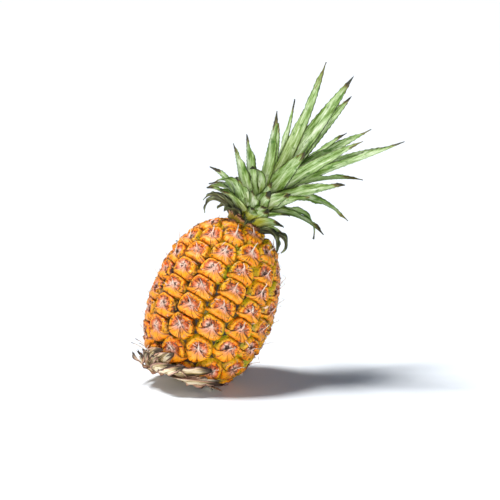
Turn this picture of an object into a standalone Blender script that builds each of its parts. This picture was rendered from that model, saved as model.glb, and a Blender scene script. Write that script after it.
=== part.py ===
"""A small pineapple with its crown of leaves, resting on a table on its base and leaning to one side.

Metres, +Z up. The origin is on the table, at the small flat spot under the fruit's lowest eyes.
"""
import math
import random

import bmesh
import bpy
import numpy as np
from mathutils import Matrix, Vector

# Pose of the fruit and of its crown, in degrees from upright
FRUIT_LEAN_RIGHT = 22.0
FRUIT_LEAN_BACK = 15.0
CROWN_LEAN_RIGHT = 38.0
CROWN_LEAN_BACK = 14.0
CENTRE = Vector((-0.0020, 0.0010, 0.0619))

# Body: a barrel whose outline is a superellipse, longer above its widest place than below
BODY_RADIUS = 0.0488
TOP_LENGTH = 0.0735
TOP_POWER = 2.2
BOTTOM_LENGTH = 0.0690
BOTTOM_POWER = 2.1
BASE_CUT = -0.0600
OUTLINE_STEPS = 4001
GAP = 0.0003
MERGE_DISTANCE = 0.000001
TINY = 0.000000001

# Eyes: one spiral from the base to the top, turned a little over the golden angle from eye to eye.
# Places are shares of the way from an eye's centre to its border.
EYE_COUNT = 102
EYE_TURN = -138.2
FIRST_EYE_ANGLE = 99.0
TOP_EYE_SHRINK = 0.25
RIM_PLACE = 0.74
PIT_PLACE = 0.40
RIM_HEIGHT = 0.0026
BRACT_BASE_HEIGHT = 0.0019
PIT_HEIGHT = 0.0007
BRACT_POINT_HEIGHT = 0.0046
BRACT_POINT_RISE = 0.0016
PIT_MIDDLE_RISE = 0.00256
PIT_MIDDLE_HEIGHT = 0.00042
FIRST_INSET = 0.0005
USUAL_EYE_SIZE = 0.0205

# Cut stem and the seats of stem and crown
STEM_RADIUS = 0.0110
STEM_SOCKET_DEPTH = 0.0030
STEM_LENGTH_OUTSIDE = 0.0056
STEM_SIDES = 20
SEAT_RADIUS = 0.0205
SEAT_DEPTH = 0.0043
SEAT_SIDES = 24
CORE_BOTTOM_RADIUS = 0.0140
CORE_TOP_RADIUS = 0.0045
CORE_HEIGHT = 0.0480
CORE_SIDES = 12
COLLAR_INNER_RADIUS = 0.0144
COLLAR_OUTER_RADIUS = 0.0174
COLLAR_TOP = 0.0012
RING_SIDES = 20
BASE_CUTTER_SIZE = 4.0 * BODY_RADIUS
FLOOR_CUTTER_SIZE = 8.0 * BODY_RADIUS

# Leaf blades: the width is a share of itself at the root, full from a fifth of the length on, and then
# tapers. The roll comes in over the first part of the length, and the hook bends the last part.
BLADE_THICKNESS = 0.0008
BLADE_STATIONS = 6
BLADE_COLUMNS = 3
CHANNEL = 0.30
WITHERED_CHANNEL = 0.15
ROOT_WIDTH = 0.55
ROOT_SPREAD = 0.2
TAPER_START = 2.4
TAPER_END = 0.9
ROLL_SPREAD = 0.4
HOOK_START = 0.6
HOOK_AT_TIP = 1.6
LEAF_SINK = 0.0040
NECK_ROOT_OUT = 0.0105
WITHERED_ROOT_OUT = COLLAR_INNER_RADIUS + 0.0010

# Crown leaves in millimetres and degrees, chosen by eye: the side they grow to (0 right, 90 front,
# 180 left, 270 back), height of the root on the core, how far out and how high the tip is, how far the
# middle bows up from a straight line, width, extra bend of the last part, and roll about the midrib
CENTRAL_LEAVES = [
    (134, 30, 43, 150, 4, 15, 0, 0),
    (98, 34, 35, 155, 4, 16, 0, 0),
    (290, 36, 37, 151, 3, 15, 0, 0),
    (270, 34, 24, 130, 3, 10, 0, 0),
    (306, 30, 49, 124, 4, 9, 0, 0),
    (325, 32, 52, 138, 4, 13, 0, 20),
    (58, 26, 60, 114, 4, 14, 0, -10),
    (28, 28, 75, 134, 6, 15, -8, -20),
    (342, 33, 65, 134, 4, 12, 0, 60),
    (244, 30, 33, 116, 3, 11, 0, 0),
    (218, 28, 34, 117, 3, 10, 0, 40),
    (136, 20, 54, 92, 3, 14, 0, 0),
    (198, 24, 28, 91, 3, 12, 0, 40),
]
MIDDLE_LEAVES = [
    (25, 20, 60, 92, 11, 13, 0, 45),
    (40, 16, 57, 78, 5, 17, 0, -20),
    (346, 16, 74, 62, 17, 12, 0, 45),
    (350, 12, 61, 50, 8, 11, 50, 35),
    (20, 9, 60, 36, 12, 14, 0, 40),
    (140, 15, 62, 61, 2, 14, 0, 10),
    (140, 10, 68, 48, 3, 15, 0, 18),
    (165, 8, 55, 27, 5, 12, 10, 40),
    (142, 5, 60, 28, 6, 14, 40, 25),
    (165, 5, 47, 14, 5, 11, 20, 40),
]
SHORT_LEAVES = [
    (90, 22, 42, 79, 4, 18, 0, 0),
    (128, 12, 42, 56, 3, 17, 50, 0),
    (133, 9, 48, 28, 4, 15, 0, 0),
    (138, 5, 50, 12, 5, 16, 0, 10),
    (112, 7, 42, 27, 4, 17, 0, 0),
    (100, 12, 40, 43, 3, 9, 0, 0),
    (76, 11, 45, 44, 4, 17, 0, 0),
    (58, 11, 48, 52, 4, 16, 0, 0),
    (85, 5, 33, 24, 3, 16, 0, 0),
    (100, 4, 29, 17, 3, 15, 0, 0),
    (50, 6, 36, 31, 3, 14, 0, 10),
]
NECK_LEAVES = [
    (112, 2, 26, 26, 4, 21, 0, 0),
    (78, 1, 28, 24, 4, 21, 0, 0),
    (148, 2, 30, 23, 4, 20, 0, 0),
    (42, 2, 33, 21, 5, 20, 0, 0),
    (95, 8, 29, 37, 3, 18, 0, 0),
    (185, 2, 30, 22, 4, 18, 0, 0),
    (10, 2, 33, 17, 5, 18, 0, 0),
]
WITHERED_LEAVES = [
    (157, 1, 50, 0, 4, 10, 40, 20),
    (190, 0, 38, -12, 10, 8, 30, 30),
    (138, 0, 30, -3, 4, 12, 0, 0),
    (8, 1, 46, 5, 7, 11, 45, 20),
    (35, 1, 40, -4, 8, 11, 0, 10),
    (95, 0, 25, -2, 4, 11, 0, 0),
    (225, 1, 34, 0, 6, 11, 10, 0),
    (262, 1, 34, 0, 6, 11, 10, 0),
    (302, 1, 34, 0, 6, 11, 10, 0),
]

# Leaves on the far side of the crown, which follow a rule: each pair gives the lowest and highest leaf
LEAF_TURN = 137.5
BACK_LEAF_COUNT = 16
BACK_FIRST_SIDE = 205.0
BACK_SIDE_SPAN = 130.0
BACK_ROOTS = (5.0, 27.0)
BACK_TIPS_OUT = (50.0, 44.0)
BACK_TIPS_UP = (20.0, 92.0)
BACK_TIP_SPREAD = 4.0
BACK_BOWS = (9.0, 3.0)
BACK_WIDTHS = (15.0, 12.0)
BACK_HOOKS = (20.0, 0.0)
SPREAD_SEED = 7

# Dry papery bracts under the base: side, length, width, height of the tip over the base, sag of the
# middle and twist, in millimetres and degrees
BASAL_BRACTS = [
    (180, 25, 23, -1, 1, 0),
    (142, 28, 22, 4, 3, 6),
    (104, 28, 23, 2, 2, -6),
    (72, 30, 20, 3, 3, 4),
    (45, 31, 15, -3, 1, 0),
    (215, 26, 22, 3, 3, -6),
    (248, 27, 21, 1, 2, 5),
]
BRACT_ROOT_RADIUS = 0.0128
BRACT_RING_OUTER = 0.0150
BRACT_RING_BOTTOM = -0.0032
BRACT_ROOT_HEIGHTS = (-0.0013, -0.0024)

# Bracts that would reach the table bend to lie just over it, within a few lengths of softness
FLOOR_CLEARANCE = 0.0011
FLOOR_SOFTNESS = 0.0004
FAR_OFF_FLOOR = 20.0

MILLIMETRE = 0.001


def lean(right, back):
    """The turn that leans +Z to the right (towards +X) and back (towards +Y)."""
    return Matrix.Rotation(math.radians(right), 4, "Y") @ Matrix.Rotation(math.radians(-back), 4, "X")


FRUIT_FRAME = Matrix.Translation(CENTRE) @ lean(FRUIT_LEAN_RIGHT, FRUIT_LEAN_BACK)
CROWN_BASE = FRUIT_FRAME @ Vector((0.0, 0.0, TOP_LENGTH))
CROWN_FRAME = Matrix.Translation(CROWN_BASE) @ lean(CROWN_LEAN_RIGHT, CROWN_LEAN_BACK)


def clear_scene():
    for old in list(bpy.data.objects):
        bpy.data.objects.remove(old, do_unlink=True)


def new_collection(name):
    made = bpy.data.collections.new(name)
    bpy.context.scene.collection.children.link(made)
    return made


def colour(hex_code):
    """Linear colour of an sRGB hex code."""
    channels = [int(hex_code[i:i + 2], 16) / 255.0 for i in (0, 2, 4)]
    linear = [c / 12.92 if c <= 0.04045 else ((c + 0.055) / 1.055) ** 2.4 for c in channels]
    return (*linear, 1.0)


def material(name, hex_code, roughness):
    made = bpy.data.materials.new(name)
    made.use_nodes = True
    shader = made.node_tree.nodes["Principled BSDF"]
    shader.inputs["Base Color"].default_value = colour(hex_code)
    shader.inputs["Roughness"].default_value = roughness
    shader.inputs["Metallic"].default_value = 0.0
    made.diffuse_color = colour(hex_code)
    return made


def object_from(bm, name, collection, frame, finish=None):
    """A named object from a bmesh, placed by a frame."""
    mesh = bpy.data.meshes.new(name)
    bmesh.ops.recalc_face_normals(bm, faces=bm.faces[:])
    bm.to_mesh(mesh)
    bm.free()
    made = bpy.data.objects.new(name, mesh)
    made.matrix_world = frame
    collection.objects.link(made)
    if finish:
        mesh.materials.append(finish)
    return made


def as_cutter(made):
    made.hide_render = True
    made.display_type = "WIRE"
    return made


def boolean(target, operation, other=None, group=None, solver="EXACT"):
    change = target.modifiers.new(operation.lower(), "BOOLEAN")
    change.operation = operation
    change.solver = solver
    if group:
        change.operand_type = "COLLECTION"
        change.collection = group
    else:
        change.object = other
    return change


def apply_modifiers(target):
    """Replace an object's mesh by its evaluated mesh."""
    bpy.context.view_layer.update()
    evaluated = target.evaluated_get(bpy.context.evaluated_depsgraph_get())
    finished = bpy.data.meshes.new_from_object(evaluated)
    target.modifiers.clear()
    target.data = finished


def fuse(target, group):
    """Join everything in a collection to the target in one union, and remove the collection."""
    boolean(target, "UNION", group=group, solver="MANIFOLD")
    apply_modifiers(target)
    keep_largest(target.data)
    for piece in list(group.objects):
        bpy.data.objects.remove(piece, do_unlink=True)
    bpy.data.collections.remove(group)


def keep_largest(mesh):
    """Keep the largest body of a mesh: fills hollows that a union sealed and drops loose scraps."""
    bm = bmesh.new()
    bm.from_mesh(mesh)
    bmesh.ops.remove_doubles(bm, verts=bm.verts[:], dist=MERGE_DISTANCE)
    bmesh.ops.dissolve_degenerate(bm, edges=bm.edges[:], dist=MERGE_DISTANCE)
    left = set(bm.faces)
    bodies = []
    while left:
        body = set()
        front = [left.pop()]
        while front:
            face = front.pop()
            body.add(face)
            for edge in face.edges:
                for other in edge.link_faces:
                    if other in left:
                        left.remove(other)
                        front.append(other)
        bodies.append(body)
    largest = max(bodies, key=len)
    bmesh.ops.delete(bm, geom=[face for face in bm.faces if face not in largest], context="FACES")
    bmesh.ops.triangulate(bm, faces=bm.faces[:])
    bm.to_mesh(mesh)
    bm.free()


# Body of the fruit


def body_size(z):
    """Half length and power of the outline at a height."""
    if z >= 0.0:
        return TOP_LENGTH, TOP_POWER
    return BOTTOM_LENGTH, BOTTOM_POWER


def on_body(point):
    """The point of the body's surface on the line from the centre through a point."""
    length, power = body_size(point.z)
    side = math.hypot(point.x, point.y) / BODY_RADIUS
    reach = (side ** power + abs(point.z / length) ** power) ** (1.0 / power)
    return point / reach


def body_normal(point):
    """Outward direction of the body's surface at a point of it."""
    length, power = body_size(point.z)
    radius = max(math.hypot(point.x, point.y), TINY)
    across = (radius / BODY_RADIUS) ** (power - 1.0) / BODY_RADIUS
    along = math.copysign(abs(point.z / length) ** (power - 1.0) / length, point.z)
    return Vector((point.x / radius * across, point.y / radius * across, along)).normalized()


def eye_centres():
    """Spiral of eyes on the body, each with its share of the surface, smaller towards the top."""
    heights = np.linspace(-BOTTOM_LENGTH, TOP_LENGTH, OUTLINE_STEPS)
    lengths = np.where(heights >= 0.0, TOP_LENGTH, BOTTOM_LENGTH)
    powers = np.where(heights >= 0.0, TOP_POWER, BOTTOM_POWER)
    radii = BODY_RADIUS * (1.0 - np.abs(heights / lengths) ** powers) ** (1.0 / powers)
    steps = np.hypot(np.diff(radii), np.diff(heights))
    middles = (radii[1:] + radii[:-1]) / 2.0
    crowding = 1.0 + TOP_EYE_SHRINK * (heights[1:] / TOP_LENGTH)
    shares = np.concatenate([[0.0], np.cumsum(steps * middles * crowding)])
    shares /= shares[-1]
    wanted = (np.arange(EYE_COUNT) + 0.5) / EYE_COUNT
    eye_heights = np.interp(wanted, shares, heights)
    eye_radii = np.interp(wanted, shares, radii)
    turns = np.radians(FIRST_EYE_ANGLE + EYE_TURN * np.arange(EYE_COUNT))
    return [
        Vector((r * math.cos(t), r * math.sin(t), z)) for r, t, z in zip(eye_radii, turns, eye_heights)
    ]


def eye_cells(centres):
    """A mesh with one many-sided face around each eye, and a dictionary from face to eye.

    The hull of the centres is poked, its first edges are turned to join the new points, and the
    centres are dissolved, so each centre leaves the face of the surface that is nearest to it.
    """
    bm = bmesh.new()
    for centre in centres:
        bm.verts.new(centre)
    bmesh.ops.convex_hull(bm, input=bm.verts[:])
    old_points = bm.verts[:]
    old_edges = bm.edges[:]
    bmesh.ops.poke(bm, faces=bm.faces[:])
    bmesh.ops.rotate_edges(bm, edges=old_edges)
    bmesh.ops.dissolve_verts(bm, verts=old_points)
    bmesh.ops.bisect_edges(bm, edges=bm.edges[:], cuts=1)
    for point in bm.verts:
        point.co = on_body(point.co)
    places = np.array([tuple(c) for c in centres])
    eye_of = {}
    for face in bm.faces:
        middle = np.array(tuple(face.calc_center_median()))
        eye_of[face] = centres[int(np.argmin(np.linalg.norm(places - middle, axis=1)))]
    return bm, eye_of


def eye_frame(centre):
    """Outward, sideways and crownward directions at an eye."""
    out = body_normal(centre)
    side = Vector((0.0, 0.0, 1.0)).cross(out)
    if side.length < MERGE_DISTANCE:
        side = Vector((1.0, 0.0, 0.0))
    side.normalize()
    return out, side, out.cross(side)


def raise_eye(bm, face, centre):
    """Raise one eye from its cell: a rim, a sunk middle and a pointed bract over its lower half.

    Each inset only adds a ring of faces, whose inner points are then placed between the eye's centre
    and its border.
    """
    out, side, up = eye_frame(centre)
    border = [point.co.copy() for point in face.verts]
    size = math.sqrt(face.calc_area()) / USUAL_EYE_SIZE

    def place(corner, share, height):
        return on_body(centre.lerp(corner, share)) + out * height * size

    def below(corner):
        """1 straight below the eye's centre, 0 beside it and above it."""
        offset = corner - centre
        return max(0.0, -offset.dot(up) / max(offset.length, TINY))

    for share, high, low in (
        (RIM_PLACE, RIM_HEIGHT, BRACT_BASE_HEIGHT),
        (PIT_PLACE, PIT_HEIGHT, RIM_HEIGHT),
    ):
        bmesh.ops.inset_individual(bm, faces=[face], thickness=FIRST_INSET)
        for point, corner in zip(face.verts, border):
            mix = below(corner)
            point.co = place(corner, share, high + (low - high) * mix)
    lowest = max(range(len(border)), key=lambda k: below(border[k]))
    face.verts[lowest].co = (
        on_body(centre + up * BRACT_POINT_RISE * size) + out * BRACT_POINT_HEIGHT * size
    )
    middle = bmesh.ops.poke(bm, faces=[face])["verts"][0]
    middle.co = on_body(centre + up * PIT_MIDDLE_RISE * size) + out * PIT_MIDDLE_HEIGHT * size


def make_fruit(collection, cutters):
    centres = eye_centres()
    bm, eye_of = eye_cells(centres)
    for face, centre in eye_of.items():
        raise_eye(bm, face, centre)
    bmesh.ops.triangulate(bm, faces=bm.faces[:])
    finish = material("fruit_rind", "D9822B", 0.55)
    fruit = object_from(bm, "fruit", collection, FRUIT_FRAME, finish)

    base = bmesh.new()
    bmesh.ops.create_cube(base, size=BASE_CUTTER_SIZE)
    bmesh.ops.translate(base, verts=base.verts[:], vec=(0.0, 0.0, BASE_CUT - BASE_CUTTER_SIZE / 2.0))
    base_cutter = as_cutter(object_from(base, "base_cutter", cutters, FRUIT_FRAME))

    socket = bmesh.new()
    socket_radius = STEM_RADIUS + GAP
    bmesh.ops.create_cone(
        socket, cap_ends=True, segments=STEM_SIDES, radius1=socket_radius, radius2=socket_radius,
        depth=2.0 * STEM_SOCKET_DEPTH,
    )
    bmesh.ops.translate(socket, verts=socket.verts[:], vec=(0.0, 0.0, BASE_CUT))
    socket_cutter = as_cutter(object_from(socket, "socket_cutter", cutters, FRUIT_FRAME))

    seat = bmesh.new()
    bmesh.ops.create_cone(
        seat, cap_ends=True, segments=SEAT_SIDES, radius1=SEAT_RADIUS, radius2=SEAT_RADIUS,
        depth=BODY_RADIUS,
    )
    bmesh.ops.translate(seat, verts=seat.verts[:], vec=(0.0, 0.0, BODY_RADIUS / 2.0 - SEAT_DEPTH))
    seat_cutter = as_cutter(object_from(seat, "seat_cutter", cutters, CROWN_FRAME))

    for cutter in (base_cutter, socket_cutter, seat_cutter, floor_cutter(cutters)):
        boolean(fruit, "DIFFERENCE", other=cutter)
    return fruit


def floor_cutter(cutters):
    """A block under the table's surface, which trims what rests on it flat."""
    found = bpy.data.objects.get("floor_cutter")
    if found:
        return found
    block = bmesh.new()
    bmesh.ops.create_cube(block, size=FLOOR_CUTTER_SIZE)
    bmesh.ops.translate(block, verts=block.verts[:], vec=(0.0, 0.0, -FLOOR_CUTTER_SIZE / 2.0))
    return as_cutter(object_from(block, "floor_cutter", cutters, Matrix.Identity(4)))


def make_stem_stub(collection, cutters):
    """The cut stem: a short tapered plug whose lower edge touches the table."""
    bm = bmesh.new()
    top = BASE_CUT + STEM_SOCKET_DEPTH - GAP
    bottom = BASE_CUT - STEM_LENGTH_OUTSIDE
    bmesh.ops.create_cone(
        bm, cap_ends=True, segments=STEM_SIDES, radius1=STEM_RADIUS - 2.0 * GAP, radius2=STEM_RADIUS,
        depth=top - bottom,
    )
    bmesh.ops.translate(bm, verts=bm.verts[:], vec=(0.0, 0.0, (top + bottom) / 2.0))
    finish = material("cut_stem", "CDB98A", 0.75)
    stub = object_from(bm, "stem_stub", collection, FRUIT_FRAME, finish)
    boolean(stub, "DIFFERENCE", other=floor_cutter(cutters))
    return stub


# Leaf blades


def leaf_spine(row, root_out):
    """Midrib of a leaf in its own upright plane: outward and upward distance at each station.

    The path is a quadratic curve from the root to the tip, bowed up in its middle, whose last part
    bends on by the hook angle.
    """
    _, root, out, up, bow, _, hook, _ = row
    shares = np.linspace(0.0, 1.0, BLADE_STATIONS)
    start = np.array([root_out, root * MILLIMETRE])
    end = np.array([out, up]) * MILLIMETRE
    chord = end - start
    square = np.array([-chord[1], chord[0]]) / np.hypot(*chord)
    if square[1] < 0.0:
        square = -square
    pull = (start + end) / 2.0 + 2.0 * bow * MILLIMETRE * square
    s = shares[:, None]
    curve = (1.0 - s) ** 2 * start + 2.0 * s * (1.0 - s) * pull + s ** 2 * end
    steps = np.diff(curve, axis=0)
    middles = (shares[1:] + shares[:-1]) / 2.0
    hooked = np.clip((middles - HOOK_START) / (1.0 - HOOK_START), 0.0, 1.0)
    angles = np.arctan2(steps[:, 0], steps[:, 1]) + math.radians(hook) * HOOK_AT_TIP * hooked
    sizes = np.hypot(steps[:, 0], steps[:, 1])
    moved = np.cumsum(np.column_stack([np.sin(angles), np.cos(angles)]) * sizes[:, None], axis=0)
    return shares, np.vstack([start, start + moved])


def leaf_surface(row, root_out, channel):
    """Points of a leaf blade on a grid of stations and columns.

    Across the blade the edges rise to the upper side as a channel, and the width narrows to a point
    as (1 - t^2.4)^0.9, and is narrower where the root is sunk in the core.
    """
    side, _, _, _, _, width, _, roll = row
    shares, path = leaf_spine(row, root_out)
    turn = math.radians(side)
    outward = np.array([math.cos(turn), -math.sin(turn), 0.0])
    tangent = np.array([math.sin(turn), math.cos(turn), 0.0])
    midrib = path[:, :1] * outward + path[:, 1:] * np.array([0.0, 0.0, 1.0])
    along = np.gradient(midrib, axis=0)
    along /= np.linalg.norm(along, axis=1)[:, None]
    upper = np.cross(along, tangent)
    angle = np.radians(roll) * np.clip(shares / ROLL_SPREAD, 0.0, 1.0)[:, None]
    sideways = tangent * np.cos(angle) + upper * np.sin(angle)
    upper = np.cross(along, sideways)
    half = 0.5 * width * MILLIMETRE * (1.0 - shares ** TAPER_START) ** TAPER_END
    half *= ROOT_WIDTH + (1.0 - ROOT_WIDTH) * np.clip(shares / ROOT_SPREAD, 0.0, 1.0)
    places = np.linspace(-1.0, 1.0, BLADE_COLUMNS)
    return (
        midrib[:, None, :]
        + sideways[:, None, :] * (half[:, None] * places)[:, :, None]
        + upper[:, None, :] * (channel * half[:, None] * places ** 2)[:, :, None]
    )


def leaf_blade(name, row, collection, frame, root_out=0.0, channel=CHANNEL, adjust=None):
    """One leaf as a solid blade: a grid of triangles moved to the leaf's surface and thickened."""
    surface = leaf_surface(row, root_out, channel)
    bm = bmesh.new()
    bmesh.ops.create_grid(bm, x_segments=BLADE_COLUMNS - 1, y_segments=BLADE_STATIONS - 1, size=1.0)
    for point in bm.verts:
        column = round((point.co.x + 1.0) / 2.0 * (BLADE_COLUMNS - 1))
        station = round((point.co.y + 1.0) / 2.0 * (BLADE_STATIONS - 1))
        place = Vector(surface[station, column])
        point.co = frame.inverted() @ adjust(frame @ place) if adjust else place
    bmesh.ops.remove_doubles(bm, verts=bm.verts[:], dist=MERGE_DISTANCE)
    bmesh.ops.triangulate(bm, faces=bm.faces[:])
    mesh = bpy.data.meshes.new(name)
    bm.to_mesh(mesh)
    bm.free()
    blade = bpy.data.objects.new(name, mesh)
    blade.matrix_world = frame
    collection.objects.link(blade)
    thick = blade.modifiers.new("thickness", "SOLIDIFY")
    thick.thickness = BLADE_THICKNESS
    thick.offset = 0.0
    apply_modifiers(blade)
    return blade


def between(ends, share):
    """The value at a share of the way from the first end to the second."""
    return ends[0] + share * (ends[1] - ends[0])


def back_leaves():
    """Leaves of the far side: even steps round their span, each a little higher than the last."""
    draw = random.Random(SPREAD_SEED)
    rows = []
    for k in range(BACK_LEAF_COUNT):
        share = k / (BACK_LEAF_COUNT - 1)
        side = BACK_FIRST_SIDE + (k * LEAF_TURN) % BACK_SIDE_SPAN
        out = between(BACK_TIPS_OUT, share) + draw.uniform(-BACK_TIP_SPREAD, BACK_TIP_SPREAD)
        up = between(BACK_TIPS_UP, share) + draw.uniform(-BACK_TIP_SPREAD, BACK_TIP_SPREAD)
        shape = (between(BACK_BOWS, share), between(BACK_WIDTHS, share), between(BACK_HOOKS, share))
        rows.append((side, between(BACK_ROOTS, share), out, up, *shape, 0.0))
    return rows


def make_crown(collection):
    bm = bmesh.new()
    height = CORE_HEIGHT + SEAT_DEPTH - GAP
    bmesh.ops.create_cone(
        bm, cap_ends=True, segments=CORE_SIDES, radius1=CORE_BOTTOM_RADIUS, radius2=CORE_TOP_RADIUS,
        depth=height,
    )
    bmesh.ops.translate(bm, verts=bm.verts[:], vec=(0.0, 0.0, CORE_HEIGHT - height / 2.0))
    finish = material("crown_leaf", "8FB083", 0.5)
    crown = object_from(bm, "crown", collection, CROWN_FRAME, finish)
    group = new_collection("crown_leaves")
    sunk = CROWN_FRAME @ Matrix.Translation((0.0, 0.0, -LEAF_SINK))
    rows = CENTRAL_LEAVES + MIDDLE_LEAVES + SHORT_LEAVES + back_leaves()
    for k, row in enumerate(rows):
        leaf_blade(f"leaf_{k}", row, group, sunk)
    for k, row in enumerate(NECK_LEAVES):
        leaf_blade(f"neck_leaf_{k}", row, group, sunk, NECK_ROOT_OUT)
    fuse(crown, group)
    return crown


def ring(inner, outer, bottom, top):
    """A closed square-edged ring: its section spun once round +Z."""
    bm = bmesh.new()
    section = [(outer, bottom), (outer, top), (inner, top), (inner, bottom)]
    corners = [bm.verts.new((radius, 0.0, z)) for radius, z in section]
    for k in range(len(corners)):
        bm.edges.new((corners[k - 1], corners[k]))
    bmesh.ops.spin(
        bm, geom=bm.verts[:] + bm.edges[:], cent=(0.0, 0.0, 0.0), axis=(0.0, 0.0, 1.0),
        angle=2.0 * math.pi, steps=RING_SIDES, use_merge=True,
    )
    bmesh.ops.remove_doubles(bm, verts=bm.verts[:], dist=MERGE_DISTANCE)
    return bm


def make_crown_collar(collection):
    """The withered lowest leaves, on a thin ring round the crown's neck."""
    bm = ring(COLLAR_INNER_RADIUS, COLLAR_OUTER_RADIUS, GAP - SEAT_DEPTH, COLLAR_TOP)
    finish = material("withered_leaf", "6B5A38", 0.8)
    collar = object_from(bm, "crown_collar", collection, CROWN_FRAME, finish)
    group = new_collection("withered_leaves")
    for k, row in enumerate(WITHERED_LEAVES):
        leaf_blade(f"withered_{k}", row, group, CROWN_FRAME, WITHERED_ROOT_OUT, WITHERED_CHANNEL)
    fuse(collar, group)
    return collar


def make_basal_bracts(collection, cutters):
    """The skirt of dry bracts round the cut stem, kept above the table."""
    inner = STEM_RADIUS + GAP
    bm = ring(inner, BRACT_RING_OUTER, BRACT_RING_BOTTOM, -GAP)
    base_frame = FRUIT_FRAME @ Matrix.Translation((0.0, 0.0, BASE_CUT))
    finish = material("dry_bract", "C9B18A", 0.85)
    skirt = object_from(bm, "basal_bracts", collection, base_frame, finish)
    group = new_collection("dry_bracts")
    for k, (side, length, width, rise, sag, twist) in enumerate(BASAL_BRACTS):
        out = length + BRACT_ROOT_RADIUS / MILLIMETRE
        root = BRACT_ROOT_HEIGHTS[k % 2] / MILLIMETRE
        row = (side, root, out, rise, -sag, width, 0, twist)
        leaf_blade(f"bract_{k}", row, group, base_frame, BRACT_ROOT_RADIUS, 0.0, lift_off_table)
    fuse(skirt, group)
    boolean(skirt, "DIFFERENCE", other=floor_cutter(cutters))
    return skirt


def lift_off_table(world):
    """Lay a point that would be under or near the table's surface just above it, with a soft bend."""
    over = (world.z - FLOOR_CLEARANCE) / FLOOR_SOFTNESS
    if over < FAR_OFF_FLOOR:
        world.z = FLOOR_CLEARANCE + FLOOR_SOFTNESS * math.log1p(math.exp(over))
    return world


def main():
    clear_scene()
    pieces = new_collection("pineapple")
    cutters = new_collection("cutters")
    make_fruit(pieces, cutters)
    make_stem_stub(pieces, cutters)
    make_crown(pieces)
    make_crown_collar(pieces)
    make_basal_bracts(pieces, cutters)


main()
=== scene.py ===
"""Looks of the pineapple: waxy eyes, papery bracts, crown leaves and the dry skirt at the base."""
import math
import random

import bpy
import numpy as np
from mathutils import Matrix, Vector


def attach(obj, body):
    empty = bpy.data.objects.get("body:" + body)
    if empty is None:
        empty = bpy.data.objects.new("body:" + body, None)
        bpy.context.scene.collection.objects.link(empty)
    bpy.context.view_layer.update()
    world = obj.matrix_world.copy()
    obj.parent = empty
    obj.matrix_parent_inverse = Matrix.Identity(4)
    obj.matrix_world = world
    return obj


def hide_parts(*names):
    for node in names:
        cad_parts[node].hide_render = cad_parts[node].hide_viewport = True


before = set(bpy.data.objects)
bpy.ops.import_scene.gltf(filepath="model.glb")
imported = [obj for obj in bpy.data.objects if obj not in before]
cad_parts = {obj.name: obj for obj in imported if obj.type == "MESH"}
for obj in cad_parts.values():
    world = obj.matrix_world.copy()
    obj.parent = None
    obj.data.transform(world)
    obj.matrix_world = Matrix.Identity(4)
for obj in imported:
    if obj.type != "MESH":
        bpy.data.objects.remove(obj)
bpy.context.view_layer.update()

MM = 0.001
UP = np.array([0.0, 0.0, 1.0])
draw = np.random.default_rng(11)


# Pose and outline of the fruit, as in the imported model


def turn(degrees, axis):
    """Rotation matrix about X or Y."""
    c, s = math.cos(math.radians(degrees)), math.sin(math.radians(degrees))
    if axis == "Y":
        return np.array([[c, 0.0, s], [0.0, 1.0, 0.0], [-s, 0.0, c]])
    return np.array([[1.0, 0.0, 0.0], [0.0, c, -s], [0.0, s, c]])


CENTRE = np.array([-2.0, 1.0, 61.9]) * MM
FRUIT_TURN = turn(22.0, "Y") @ turn(-15.0, "X")
CROWN_TURN = turn(38.0, "Y") @ turn(-14.0, "X")
BODY_RADIUS = 48.8 * MM
TOP_LENGTH, TOP_POWER = 73.5 * MM, 2.2
BOTTOM_LENGTH, BOTTOM_POWER = 69.0 * MM, 2.1
BASE_CUT = -60.0 * MM
CROWN_BASE = CENTRE + FRUIT_TURN @ (UP * TOP_LENGTH)
LEAF_BASE = CROWN_BASE - CROWN_TURN @ (UP * 4.0 * MM)
SKIRT_BASE = CENTRE + FRUIT_TURN @ (UP * BASE_CUT)

# Eyes: their turn and first angle in degrees, how much smaller the top ones are, the usual distance to
# the border, and how sharp its corners, how round its upper half and how far past its neighbours it is
EYE_COUNT = 102
EYE_TURN = -138.2
FIRST_EYE_ANGLE = 99.0
TOP_EYE_SHRINK = 0.25
USUAL_REACH = 9.6 * MM
CORNER_SHARPNESS = 11.0
ARCH_ROUNDING = 1.22
EYE_OVERLAP = 1.10

# The crown's seat in the fruit: a flat with a cone round it, shaped within its reach and drop
SEAT_DEPTH = 4.3 * MM
SEAT_FLAT = 17.4 * MM
SEAT_SLOPE = 1.2
SEAT_REACH = 2.0 * SEAT_FLAT
SEAT_DROP = 40.0 * MM
TABLE_GAP = 0.1 * MM
CORE_RADII = (14.0 * MM, 4.5 * MM)
CORE_HEIGHTS = (-4.0 * MM, 48.0 * MM)
STEM_RADIUS = 11.0 * MM
STEM_SUNK = 2.0 * MM
STEM_LENGTH = 7.4 * MM

# Leaves in millimetres and degrees: side (0 right, 90 front, 180 left, 270 back), height of the root,
# how far out and how high the tip is, bow, width, bend of the last part, roll. They are the packed
# model's, but for the roll of the central leaf at side 218, which shows more of its face here.
CENTRAL_LEAVES = [
    (134, 30, 43, 150, 4, 15, 0, 0),
    (98, 34, 35, 155, 4, 16, 0, 0),
    (290, 36, 37, 151, 3, 15, 0, 0),
    (270, 34, 24, 130, 3, 10, 0, 0),
    (306, 30, 49, 124, 4, 9, 0, 0),
    (325, 32, 52, 138, 4, 13, 0, 20),
    (58, 26, 60, 114, 4, 14, 0, -10),
    (28, 28, 75, 134, 6, 15, -8, -20),
    (342, 33, 65, 134, 4, 12, 0, 60),
    (244, 30, 33, 116, 3, 11, 0, 0),
    (218, 28, 34, 117, 3, 10, 0, 64),
    (136, 20, 54, 92, 3, 14, 0, 0),
    (198, 24, 28, 91, 3, 12, 0, 40),
]
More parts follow.
